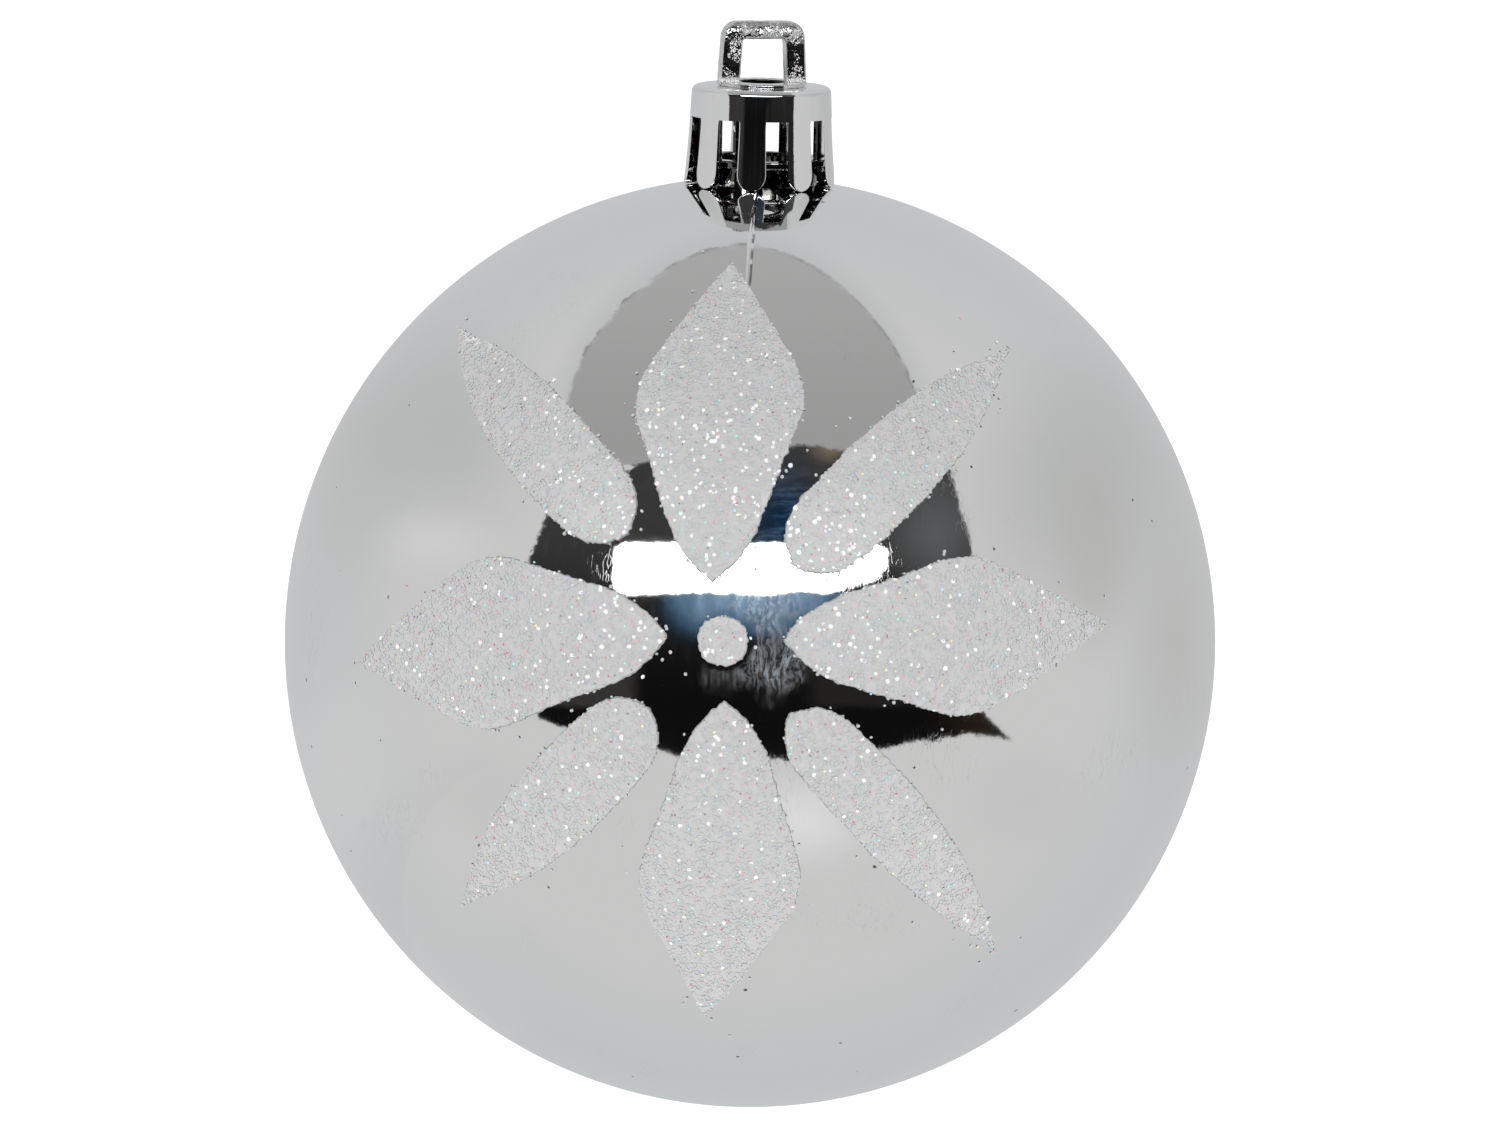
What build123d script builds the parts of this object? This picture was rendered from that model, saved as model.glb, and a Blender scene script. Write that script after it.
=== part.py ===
"""Mirror-silver shatterproof ball ornament with a white glitter flower, a clip-fit cap and a hanging loop.

Millimetres, +Z up. The origin is the hanging point: the middle of the underside of the loop's top bar,
where a hook or ribbon carries the weight. The ball hangs below it on the Z axis, and the front of the
flower faces -Y. Every height in the dimensions below is counted upwards from the centre of the ball.
"""

from build123d import *
import os
from math import acos, cos, degrees, radians, sin, sqrt, tan

# Ball: one hollow blow-moulded shell with an open neck that ends in a retaining bead
ball_radius = 40.0
ball_wall = 0.9
neck_radius = 4.9
neck_bore_radius = 4.2
neck_top = 41.9
bead_radius = 5.35
bead_height = 0.6

# Cap: a cup whose wall is slit into springy fingers that grip under the bead
running_clearance = 0.05
cap_top = 48.0
cap_top_radius = 5.93
cap_top_thickness = 0.9
cap_corner_radius = 0.55
band_bottom = 45.4
band_bottom_radius = 6.05
finger_tip_radius = 6.49
finger_count = 9
slot_width = 1.92
finger_round_height = 1.45
hook_radius = 4.98
hook_land = 0.35
cap_turn = 16.6  # degrees that the cap is turned on the neck, anticlockwise from above

# Loop: an arch on a round foot, whose hollow stem is pressed through the hole in the cap
eye_top = 52.0
loop_top = 53.5
loop_depth = 1.55
loop_base_half_width = 3.8
loop_top_half_width = 3.48
loop_corner_radius = 1.4
loop_edge_radius = 0.3
eye_base_half_width = 2.05
eye_top_half_width = 1.85
eye_corner_radius = 0.3
foot_radius = 3.7
foot_height = 0.35
stem_radius = 2.6
stem_bore_radius = 1.95
stem_lip_radius = 2.9
stem_lip_height = 0.45

# Glitter flower: dried adhesive with flakes on it, in nine islands round one point of the ball
glue_thickness = 0.1
glitter_thickness = 0.3
flower_raise = 9.0  # degrees that the flower's centre lies above the ball's widest line
flower_turn = 1.2  # degrees that the whole flower is turned anticlockwise, seen from outside
dot_arc = 3.05

# Half width along a petal, as (share of its length, share of its greatest half width)
kite_shape = [(0, 0), (0.07, 0.35), (0.29, 0.74), (0.52, 1), (0.73, 0.61), (0.86, 0.31), (1, 0)]
leaf_shape = [(0, 0), (0.06, 0.74), (0.19, 0.98), (0.42, 0.98), (0.63, 0.79), (0.83, 0.38), (1, 0)]

# Each petal in degrees of arc: direction, shape, inner end, outer tip, half width, and how far its
# middle line has drifted sideways at the inner end and at the tip
petals = {
    "east": (0, kite_shape, 7.0, 51.0, 9.4, 0.2, 2.6),
    "north_east": (45, leaf_shape, 12.0, 57.0, 5.3, 0.6, 2.0),
    "north": (90, kite_shape, 7.0, 52.0, 10.0, 1.3, 0.5),
    "north_west": (135, leaf_shape, 17.0, 62.0, 5.3, -0.6, -2.5),
    "west": (180, kite_shape, 6.5, 51.5, 10.2, -0.4, 3.0),
    "south_west": (225, leaf_shape, 11.7, 52.5, 5.3, -0.5, -0.3),
    "south": (270, kite_shape, 7.0, 51.5, 9.6, 0.2, -3.0),
    "south_east": (315, leaf_shape, 11.5, 57.5, 4.6, -0.4, -3.8),
}

ball_center = Vector(0, 0, -eye_top)
cap_bore_radius = bead_radius + running_clearance
bead_bottom = neck_top - bead_height
half_pitch = finger_tip_radius * sin(radians(180 / finger_count))

os.makedirs("parts", exist_ok=True)


def upright_plane(turn):
    """Upright plane through the axis: x across, y height above the ball's centre, facing outwards at turn."""
    across = Vector(1, 0, 0).rotate(Axis.Z, turn)
    outwards = Vector(0, -1, 0).rotate(Axis.Z, turn)
    return Plane(origin=ball_center, x_dir=across, z_dir=outwards)


def save(piece, label):
    piece.part.label = label
    export_step(piece.part, f"parts/{label}.step")


# ---------------------------------------------------------------- ball shell
inner_radius = ball_radius - ball_wall
neck_root_angle = degrees(acos(neck_radius / ball_radius))
bore_root_angle = degrees(acos(neck_bore_radius / inner_radius))

with BuildPart() as ball_shell:
    with BuildSketch(upright_plane(0)):
        with BuildLine():
            outside = CenterArc((0, 0), ball_radius, -90, 90 + neck_root_angle)
            inside = CenterArc((0, 0), inner_radius, -90, 90 + bore_root_angle)
            Polyline(
                outside @ 1,
                (neck_radius, bead_bottom),
                (bead_radius, bead_bottom),
                (bead_radius, neck_top),
                (neck_bore_radius, neck_top),
                inside @ 1,
            )
            Line(outside @ 0, inside @ 0)
        make_face()
    revolve(axis=Axis.Z)

save(ball_shell, "ball_shell")

# ---------------------------------------------------------------- cap
ball_top_clear = ball_radius + running_clearance
finger_tip = sqrt(ball_top_clear**2 - finger_tip_radius**2)
finger_inner_tip = sqrt(ball_top_clear**2 - cap_bore_radius**2)
hook_top = bead_bottom - running_clearance
hook_bottom = hook_top - hook_land
lead_in_bottom = hook_bottom - (cap_bore_radius - hook_radius)
cap_ceiling = cap_top - cap_top_thickness
round_start = finger_tip + finger_round_height
slot_half = slot_width / 2
below_tips = finger_tip - 1
past_the_wall = finger_tip_radius + 1

# One gap between two fingers: square at the top, and spreading at the bottom round both finger tips
with BuildPart() as slot_cutter:
    with BuildSketch(upright_plane(0)):
        with BuildLine():
            for side, start_angle in ((1, 180), (-1, 0)):
                Line((0, band_bottom), (side * slot_half, band_bottom))
                Line((side * slot_half, band_bottom), (side * slot_half, round_start))
                EllipticalCenterArc(
                    (side * half_pitch, round_start),
                    x_radius=half_pitch - slot_half,
                    y_radius=finger_round_height,
                    start_angle=start_angle,
                    arc_size=side * 90,
                )
                Line((side * half_pitch, finger_tip), (side * half_pitch, below_tips))
                Line((side * half_pitch, below_tips), (0, below_tips))
        make_face()
    extrude(amount=past_the_wall)

with BuildPart() as cap:
    with BuildSketch(upright_plane(0)):
        with BuildLine():
            band = Line((cap_top_radius, cap_top), (band_bottom_radius, band_bottom))
            flare = TangentArc(band @ 1, (finger_tip_radius, finger_tip), tangent=band % 1)
            Polyline(
                flare @ 1,
                (cap_bore_radius, finger_inner_tip),
                (cap_bore_radius, lead_in_bottom),
                (hook_radius, hook_bottom),
                (hook_radius, hook_top),
                (cap_bore_radius, hook_top),
                (cap_bore_radius, cap_ceiling),
                (stem_radius, cap_ceiling),
                (stem_radius, cap_top),
                band @ 0,
            )
        make_face()
    revolve(axis=Axis.Z)
    rim = cap.edges().filter_by(GeomType.CIRCLE).group_by(Axis.Z)[-1].sort_by(SortBy.RADIUS)[-1]
    fillet(rim, cap_corner_radius)
    with PolarLocations(0, finger_count, start_angle=cap_turn):
        add(slot_cutter.part, mode=Mode.SUBTRACT)
    with Locations(ball_center):
        Sphere(ball_top_clear, mode=Mode.SUBTRACT)

save(cap, "cap")

# ---------------------------------------------------------------- hanging loop
stem_lip_bottom = cap_ceiling - stem_lip_height

with BuildPart() as hanging_loop:
    with BuildSketch(upright_plane(cap_turn)) as arch:
        with BuildLine():
            Polyline(
                (-loop_base_half_width, cap_top),
                (loop_base_half_width, cap_top),
                (loop_top_half_width, loop_top),
                (-loop_top_half_width, loop_top),
                close=True,
            )
        make_face()
        fillet(arch.vertices().group_by(Axis.Y)[-1], loop_corner_radius)
        with BuildLine():
            Polyline(
                (-eye_base_half_width, cap_top),
                (eye_base_half_width, cap_top),
                (eye_top_half_width, eye_top),
                (-eye_top_half_width, eye_top),
                close=True,
            )
        make_face(mode=Mode.SUBTRACT)
        eye_corners = arch.vertices().filter_by_position(Axis.Y, eye_top - 0.1, eye_top + 0.1)
        fillet(eye_corners, eye_corner_radius)
    extrude(amount=loop_depth / 2, both=True)
    for face in hanging_loop.faces().filter_by(upright_plane(cap_turn)):
        above_foot = face.edges().sort_by(Axis.Z)[2:]
        fillet(above_foot, loop_edge_radius)
    with BuildSketch(upright_plane(0)):
        with BuildLine():
            Polyline(
                (stem_bore_radius, cap_top + foot_height),
                (foot_radius, cap_top + foot_height),
                (foot_radius, cap_top),
                (stem_radius, cap_top),
                (stem_radius, cap_ceiling),
                (stem_lip_radius, cap_ceiling),
                (stem_radius, stem_lip_bottom),
                (stem_bore_radius, stem_lip_bottom),
                close=True,
            )
        make_face()
    revolve(axis=Axis.Z)

save(hanging_loop, "hanging_loop")


# ---------------------------------------------------------------- glitter flower, front and back
def flower_plane(turn):
    """Plane through the ball's centre that faces the flower's middle, with y towards the cap."""
    level = upright_plane(turn)
    towards_middle = level.z_dir.rotate(Axis((0, 0, 0), level.x_dir), -flower_raise)
    across = level.x_dir.rotate(Axis((0, 0, 0), towards_middle), flower_turn)
    return Plane(origin=ball_center, x_dir=across, z_dir=towards_middle)


def on_flat(distance, along, sideways):
    """Where the ray at these two angles from the ball's centre meets a flat sheet at this distance."""
    return Vector(distance * tan(along), distance * tan(sideways) / cos(along))


def petal_side(petal, side, distance):
    """Points along one edge of a petal, drawn pointing along +X on a flat sheet at this distance."""
    direction, shape, inner_end, tip, half_width, drift_inner, drift_tip = petal
    points = []
    for length_share, width_share in shape:
        along = inner_end + length_share * (tip - inner_end)
        drift = drift_inner + length_share**2 * (drift_tip - drift_inner)
        sideways = drift + side * width_share * half_width
        points.append(on_flat(distance, radians(along), radians(sideways)).rotate(Axis.Z, direction))
    return points


def island(plane, petal, bottom_radius, top_radius):
    """One island of the flower: the cone from the ball's centre over its outline, between two spheres.

    The outline is a petal, or the round middle dot where the petal is None.
    """
    near, far = 0.4 * ball_radius, 1.1 * ball_radius
    with BuildPart() as piece:
        for distance in (near, far):
            with BuildSketch(plane.offset(distance)):
                with BuildLine():
                    for side in (1, -1):
                        if petal is None:
                            CenterArc((0, 0), distance * tan(radians(dot_arc)), 0, side * 180)
                        else:
                            Spline(petal_side(petal, side, distance))
                make_face()
        loft(ruled=True)
        with Locations(ball_center):
            Sphere(top_radius, mode=Mode.INTERSECT)
            Sphere(bottom_radius, mode=Mode.SUBTRACT)
    return piece


glue_top = ball_radius + glue_thickness
glitter_top = glue_top + glitter_thickness
islands = {"dot": None}
for petal_name, petal in petals.items():
    islands[f"petal_{petal_name}"] = petal

for face_name, face_turn in (("front", 0), ("back", 180)):
    plane = flower_plane(face_turn)
    for island_name, petal in islands.items():
        save(island(plane, petal, glue_top, glitter_top), f"{face_name}_{island_name}")
    glue_pads = [island(plane, petal, ball_radius, glue_top) for petal in islands.values()]
    with BuildPart() as glue_print:
        for pad in glue_pads:
            add(pad.part)
    save(glue_print, f"{face_name}_glue_print")
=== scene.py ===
"""Looks of a mirror-silver ball ornament with a glitter flower, a clip-fit cap and a moulded loop.

Mesh points are millimetres from the ball's centre, +Z up, until add_piece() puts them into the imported
frame, which is in metres. Azimuths are degrees anticlockwise from -Y, seen from above.
"""

from functools import partialmethod
from math import asin, cos, pi, radians, sin, sqrt, tan

import bpy
import numpy as np
from mathutils import Matrix, Vector, noise
from mathutils.geometry import delaunay_2d_cdt


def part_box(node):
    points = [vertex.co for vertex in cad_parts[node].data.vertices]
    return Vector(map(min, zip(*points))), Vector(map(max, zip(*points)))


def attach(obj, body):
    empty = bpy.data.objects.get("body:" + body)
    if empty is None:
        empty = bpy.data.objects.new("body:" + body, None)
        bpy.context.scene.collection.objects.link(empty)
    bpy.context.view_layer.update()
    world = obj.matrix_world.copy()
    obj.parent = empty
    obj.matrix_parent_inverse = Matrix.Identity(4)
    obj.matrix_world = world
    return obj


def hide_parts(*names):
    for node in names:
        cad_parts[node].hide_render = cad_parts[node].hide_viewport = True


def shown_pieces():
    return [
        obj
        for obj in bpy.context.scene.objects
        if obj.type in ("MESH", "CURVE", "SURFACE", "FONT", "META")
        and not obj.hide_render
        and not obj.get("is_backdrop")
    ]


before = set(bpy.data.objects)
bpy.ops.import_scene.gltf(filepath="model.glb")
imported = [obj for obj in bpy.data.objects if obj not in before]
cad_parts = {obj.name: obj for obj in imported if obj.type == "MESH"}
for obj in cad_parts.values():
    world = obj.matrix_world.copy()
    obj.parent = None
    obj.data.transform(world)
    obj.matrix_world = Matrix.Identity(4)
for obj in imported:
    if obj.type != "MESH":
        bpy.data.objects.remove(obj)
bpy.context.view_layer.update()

scene = bpy.context.scene
dice = np.random.default_rng(271)
MM = 0.001

# ---- sizes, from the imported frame
shell_low, shell_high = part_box("ball_shell")
cap_low, cap_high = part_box("cap")
loop_low, loop_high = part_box("hanging_loop")
ball_radius = (shell_high.x - shell_low.x) / 2 / MM
ball_center = Vector((0, 0, shell_low.z + ball_radius * MM))


def height(z):
    """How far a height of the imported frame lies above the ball's centre."""
    return (z - ball_center.z) / MM


neck_top = height(shell_high.z)
cap_top = height(cap_high.z)
finger_tip = height(cap_low.z)
loop_top = height(loop_high.z)
stem_bottom = height(loop_low.z)
eye_top = height(0)  # the frame's origin is the underside of the loop's top bar

# Ball shell
ball_wall = 0.9
neck_radius = 4.9
neck_bore_radius = 4.2
bead_radius = 5.35
bead_height = 0.6
seam_height = 0.09  # parting line of the mould, proud of the ball
seam_half_width = 0.12
seam_azimuth = 1.0
seam_fade = (31, 43)  # degrees from the neck's axis over which the parting line dies out

# Cap
running_clearance = 0.05
cap_bore_radius = bead_radius + running_clearance
cap_top_radius = 5.93
cap_top_thickness = 0.9
cap_corner_radius = 0.55
band_bottom = cap_top - 2.6
band_bottom_radius = 6.05
finger_tip_radius = 6.49
finger_count = 9
slot_half = 0.96
finger_round_height = 1.45
hook_radius = 4.98
hook_land = 0.35
cap_turn = 16.6
edge_roll = 0.05  # how far the fingers' outer edges are rolled off
cap_ceiling = cap_top - cap_top_thickness

# Loop
loop_depth = 1.55
loop_base_half_width = 3.8
loop_top_half_width = 3.48
loop_corner_radius = 1.4
loop_edge_radius = 0.2
eye_base_half_width = 2.05
eye_top_half_width = 1.85
eye_corner_radius = 0.3
foot_radius = 3.7
foot_height = 0.35
stem_radius = 2.6
stem_bore_radius = 1.95
stem_lip_radius = 2.9

# Glitter
flake_sides = 6
flake_corners = 2 * flake_sides
flake_thickness = 0.018
flake_overhang = 0.12  # flakes lie this far inside the outline, so that their rims reach it
flakes_per_mm2 = 11.0
outline_step = 0.22
edge_wander = 0.07

mirror_reflectance = 0.93


# ---- node formulas
class Wire:
    """A socket of a node tree that can stand in a formula: each operation adds a Math node."""

    def __init__(self, tree, socket):
        self.tree = tree
        self.socket = socket

    def math(self, operation, *others):
        return make(self.tree, "ShaderNodeMath", dict(enumerate((self, *others))), operation=operation)

    __add__ = __radd__ = partialmethod(math, "ADD")
    __sub__ = partialmethod(math, "SUBTRACT")
    __mul__ = __rmul__ = partialmethod(math, "MULTIPLY")
    __truediv__ = partialmethod(math, "DIVIDE")
    most = partialmethod(math, "MAXIMUM")
    size = partialmethod(math, "ABSOLUTE")
    root = partialmethod(math, "SQRT")
    power = partialmethod(math, "POWER")

    def __rsub__(self, other):
        return (self * -1) + other

    def step(self, start, end):
        """0 at start and 1 at end, with a smooth turn between; start may be the larger."""
        settings = {"Value": self, "From Min": min(start, end), "From Max": max(start, end)}
        settings["To Min"], settings["To Max"] = (0, 1) if start < end else (1, 0)
        return make(self.tree, "ShaderNodeMapRange", settings, interpolation_type="SMOOTHSTEP")


def plug(slot, value):
    """Links or sets an input. A single number given for a colour is a grey."""
    if isinstance(value, Wire):
        value.tree.links.new(value.socket, slot)
    elif slot.type == "RGBA":
        red, green, blue = value if isinstance(value, tuple) else (value,) * 3
        slot.default_value = (red, green, blue, 1)
    else:
        slot.default_value = value


def make(tree, kind, inputs=None, output=0, **settings):
    """A new node with these inputs and settings; returns the Wire of one of its outputs."""
    node = tree.nodes.new(kind)
    for name, value in settings.items():
        setattr(node, name, value)
    for key, value in (inputs or {}).items():
        plug(node.inputs[key], value)
    return Wire(tree, node.outputs[output])


def mix(lower, upper, share):
    """lower where share is 0, upper where it is 1, as colours."""
    tree = next(value.tree for value in (share, lower, upper) if isinstance(value, Wire))
    node = tree.nodes.new("ShaderNodeMix")
    node.data_type = "RGBA"
    plug(node.inputs["Factor"], share)
    colours = [slot for slot in node.inputs if slot.type == "RGBA"]
    plug(colours[0], lower)
    plug(colours[1], upper)
    return Wire(tree, next(slot for slot in node.outputs if slot.type == "RGBA"))


def vector(operation, first, second=None):
    """A Vector Math node on one vector, on two, or on one and the factor of SCALE."""
    inputs = {0: first}
    if second is not None:
        inputs[3 if operation == "SCALE" else 1] = second
    output = "Value" if operation == "LENGTH" else 0
    return make(first.tree, "ShaderNodeVectorMath", inputs, output=output, operation=operation)


def scaled(place, *factors):
    """A vector multiplied by a factor along each axis."""
    return vector("MULTIPLY", place, factors)


def coordinates(place):
    split = place.tree.nodes.new("ShaderNodeSeparateXYZ")
    plug(split.inputs[0], place)
    return [Wire(place.tree, socket) for socket in split.outputs]


def grain(place, per_mm, detail=2.0, rough=0.5):
    """Noise from 0 to 1 about 0.5."""
    inputs = {"Vector": place, "Scale": per_mm, "Detail": detail, "Roughness": rough}
    return make(place.tree, "ShaderNodeTexNoise", inputs)


def unevenness(place, per_mm, amount, detail=2.0, rough=0.5):
    """Noise about 0, within half the amount to either side."""
    return (grain(place, per_mm, detail, rough) - 0.5) * amount


def cells(place, per_mm, output="Distance"):
    """A property of the nearest of many scattered points."""
    return make(place.tree, "ShaderNodeTexVoronoi", {"Vector": place, "Scale": per_mm}, output=output)


def bump(height_mm):
    """A normal for a relief given in millimetres."""
    return make(height_mm.tree, "ShaderNodeBump", {"Height": height_mm, "Distance": MM, "Strength": 1.0})


def new_material(slot):
    """A material, its Principled node and object coordinates in millimetres."""
    material = bpy.data.materials.new(f"{slot}_look")
    material["slot"] = slot
    material.use_nodes = True
    tree = material.node_tree
    place = make(tree, "ShaderNodeTexCoord", output="Object")
    return material, tree.nodes["Principled BSDF"], vector("SCALE", place, 1 / MM)


def set_surface(surface, **inputs):
    for name, value in inputs.items():
        plug(surface.inputs[name.replace("_", " ")], value)


def offset_length(place, middle, reach):
    """Distance from a point, as a share of the reach along each axis."""
    shares = scaled(vector("SUBTRACT", place, middle), *[1 / size for size in reach])
    return vector("LENGTH", shares)


def around_neck(place, azimuth=0):
    """Distance from the neck's axis, height above the ball's centre, and distance to the right of the axis.

    Right is as seen by someone who looks at the ball from this azimuth.
    """
    x, y, z = coordinates(place)
    turn = radians(azimuth)
    return (x * x + y * y).root(), z + eye_top, x * cos(turn) + y * sin(turn)


def blob(u, v, middle, reach):
    """1 at the middle of an ellipse, falling softly to 0 at its edge."""
    across = (u - middle[0]) / reach[0]
    along = (v - middle[1]) / reach[1]
    return (across * across + along * along).root().step(1, 0)


# ---- materials
def painted_spill(place):
    """Streaky painted reflection of bluish spill by the flowers' dots, with painted shadow round each dot."""
    spill_offset, spill_reach = Vector((2.7, 0, 0.9)), (5.6, 5.6, 6.4)
    spill_glow = None
    for face in ("front", "back"):
        low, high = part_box(f"{face}_dot")
        dot_middle, dot_reach = (low + high) / (2 * MM), (high.x - low.x) / (2 * MM)
        near = offset_length(place, dot_middle + spill_offset, spill_reach) + unevenness(place, 0.3, 1.0, 3.0)
        # a ring round the dot gets no spill: painted shadow of the dot
        beyond_dot_shadow = offset_length(place, dot_middle, (dot_reach, dot_reach, dot_reach)).step(1.05, 1.45)
        near = near.step(1.0, 0.25) * beyond_dot_shadow
        spill_glow = near if spill_glow is None else spill_glow.most(near)
    bend = make(place.tree, "ShaderNodeTexNoise", {"Vector": place, "Scale": 0.35}, output="Color")
    bent = vector("ADD", place, vector("SCALE", bend, 2.2))
    spill_streaks = grain(scaled(bent, 3.0, 3.0, 0.42), 1.0, 4.0, 0.7).step(0.42, 0.62)
    patchy = grain(place, 0.25, 3.0).step(0.35, 0.60) * 0.6 + 0.4
    return spill_glow * patchy * (spill_streaks * 0.92 + 0.08)


def shell_material():
    """Vapour-plated plastic: almost a perfect mirror, with slight ripple, dust, smudges and hair scratches.

    Round the flowers' dots it has painted reflection of bluish spill; under the cap, uneven painted shade.
    """
    material, surface, place = new_material("mirror_shell")
    ripple = unevenness(place, 0.22, 0.007)
    fine_ripple = unevenness(place, 1.6, 0.0014, 3.0)
    speck_size = grain(place, 0.9, 1.0).step(0.47, 0.75) * 0.08
    dust = (cells(place, 0.34) - speck_size).step(0.006, -0.006)
    hairs = (grain(scaled(place, 1.0, 1.0, 0.10), 2.2, 2.0) - 0.5).size().step(0.016, 0.004)
    scratched = hairs * grain(place, 0.10, 2.0).step(0.58, 0.70)
    smudge = grain(place, 0.07, 4.0, 0.6).step(0.45, 0.75)
    spill_reflection = painted_spill(place)

    from_axis, level, beside_seam = around_neck(place, seam_azimuth)
    near_axis = from_axis.step(bead_radius + 0.35, bead_radius - 0.05) * level.step(0, 20)
    # painted shade on the neck where the cap covers it, in uneven patches
    shade_under_cap = near_axis * grain(place, 1.1, 3.0).step(0.62, 0.56)
    seam_end = ball_radius * cos(radians(seam_fade[1]))
    crease_offset = 0.19  # painted shade in a crease beside the parting line, wandering with the ripple
    crease_shade = (beside_seam - crease_offset - ripple * 20).size().step(0.17, 0.05)
    crease_shade = crease_shade * level.step(seam_end, seam_end + 3.0) * grain(place, 1.2, 3.0).step(0.42, 0.56)

    colour = mix(mirror_reflectance, 0.66, scratched * 0.4)
    colour = mix(colour, (0.10, 0.09, 0.08), dust * 0.9)
    # painted reflection of bluish spill light round the dots
    colour = mix(colour, (0.34, 0.52, 0.68), spill_reflection * 0.8)
    colour = mix(colour, (0.12, 0.115, 0.11), shade_under_cap)
    set_surface(
        surface,
        Base_Color=mix(colour, 0.16, crease_shade * 0.85),
        Metallic=1 - spill_reflection * 0.52,
        Roughness=0.03 + smudge * 0.03 + scratched * 0.06 + spill_reflection * 0.07,
        Specular_IOR_Level=0.2,
        Normal=bump(ripple + fine_ripple + dust * 0.012 - scratched * 0.0006),
    )
    return material


def cap_material():
    """The same plating on an injection-moulded cap, with long soft flow ripples and a few pits.

    The inner faces carry painted shade in patches, and all over where they show at the sides.
    """
    material, surface, place = new_material("mirror_cap")
    flow = unevenness(scaled(place, 1.0, 1.0, 0.25), 0.9, 0.008)
    fine = unevenness(place, 5.0, 0.0014, 3.0)
    pits = cells(place, 1.6).step(0.08, 0.02)
    worn = grain(place, 0.5, 4.0, 0.7).step(0.5, 0.75)
    from_axis, level, right = around_neck(place)
    at_sides = right.size().step(3.4, 4.2)
    inside_wall = from_axis.step(cap_top_radius + 0.02, cap_top_radius - 0.18)
    inner = inside_wall * level.step(cap_top - 0.3, cap_top - 0.5)
    # painted shade inside the cap: patchy, and full at the sides
    painted_inner_shade = grain(place, 0.9, 3.0, 0.6).step(0.60, 0.56).most(at_sides)
    inner_lumps = inner * grain(place, 1.3, 3.0) * (1 - at_sides) * 0.12
    colour = mix((0.91, 0.915, 0.92), (0.78, 0.77, 0.76), worn * 0.25)
    set_surface(
        surface,
        Base_Color=mix(colour, (0.05, 0.048, 0.045), inner * painted_inner_shade),
        Metallic=1.0,
        Roughness=0.02 + worn * 0.03,
        Normal=bump(flow + fine - pits * 0.002 + inner_lumps),
    )
    return material


def overspray(place, across, level):
    """Clusters of fine overspray dots on the loop's arch, packed thick at its feet as painted highlight."""
    drifts = [
        ((-2.6, eye_top - 0.9), (1.1, 1.3)),
        ((-2.8, cap_top + 0.6), (1.2, 1.3)),
        ((-1.5, loop_top - 0.6), (0.9, 0.6)),
        ((0.8, loop_top - 0.5), (1.0, 0.6)),
        ((2.7, eye_top + 0.1), (0.8, 1.0)),
        ((2.9, cap_top + 0.8), (1.1, 1.5)),
    ]
    clusters = unevenness(place, 1.2, 1.2)
    for middle, reach in drifts:
        clusters = clusters + blob(across, level, middle, reach) * 0.55
    coarse = cells(place, 4.2).step(0.38, 0.30) * clusters.step(0.24, 0.30)
    fine = cells(place, 7.0).step(0.38, 0.30) * clusters.step(0.14, 0.20)
    # dots packed at the feet: painted highlight
    feet_highlight_dots = level.step(cap_top + 1.0, cap_top + 0.3) * grain(place, 2.5, 3.0).step(0.36, 0.48)
    foot_top = cap_top + foot_height
    return coarse.most(fine).most(feet_highlight_dots) * level.step(foot_top, foot_top + 0.1)


def loop_material():
    """Coarse plating on the loop: a black-looking mirror with clusters of fine white overspray dots.

    The bar is lumpy, clouded and crowned, so that its upper half shows the pale light above.
    """
    material, surface, place = new_material("mirror_loop")
    from_axis, level, across = around_neck(place, cap_turn)
    dots = overspray(place, across, level)
    near_top = level.step(loop_top - 2.4, loop_top - 1.2)
    lumps = (grain(place, 0.9, 3.0, 0.6) - 0.5) * (near_top * 0.30 + 0.04)
    grit = unevenness(place, 8.0, 0.006, 3.0, 0.6)
    above_crown = (level - (loop_top - 1.05)).most(0)
    crown = above_crown * above_crown * 0.45
    tarnish = grain(place, 3.0, 4.0, 0.7).step(0.45, 0.70)
    clouded = near_top * grain(place, 1.1, 3.0, 0.6).step(0.44, 0.58)
    # painted shade down the stem's bore
    in_bore = from_axis.step(stem_bore_radius + 0.25, stem_bore_radius)
    stem_bore_shade = in_bore * level.step(eye_top - 0.5, cap_top + 0.6)
    colour = mix(0.78, 0.45, tarnish * 0.5)
    colour = mix(colour, 0.05, stem_bore_shade)
    set_surface(
        surface,
        Base_Color=mix(colour, 0.98, dots),
        Metallic=1 - dots,
        Roughness=0.06 + tarnish * 0.10 + (clouded * 0.42).most(dots * 0.5),
        Normal=bump(lumps + grit - crown + dots * 0.03),
    )
    return material


def adhesive_material():
    """Dried adhesive: milky, slightly glossy, cloudy and brushed by the printing screen."""
    material, surface, place = new_material("dried_adhesive")
    cloud = grain(place, 0.8, 4.0, 0.6)
    set_surface(
        surface,
        Base_Color=mix((0.34, 0.35, 0.35), (0.52, 0.52, 0.51), cloud),
        Roughness=0.35 + cloud * 0.25,
        Subsurface_Weight=0.15,
        Subsurface_Radius=(0.4, 0.4, 0.4),
        Subsurface_Scale=MM,
        Normal=bump(unevenness(place, 3.5, 0.02)),
    )
    return material


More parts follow.
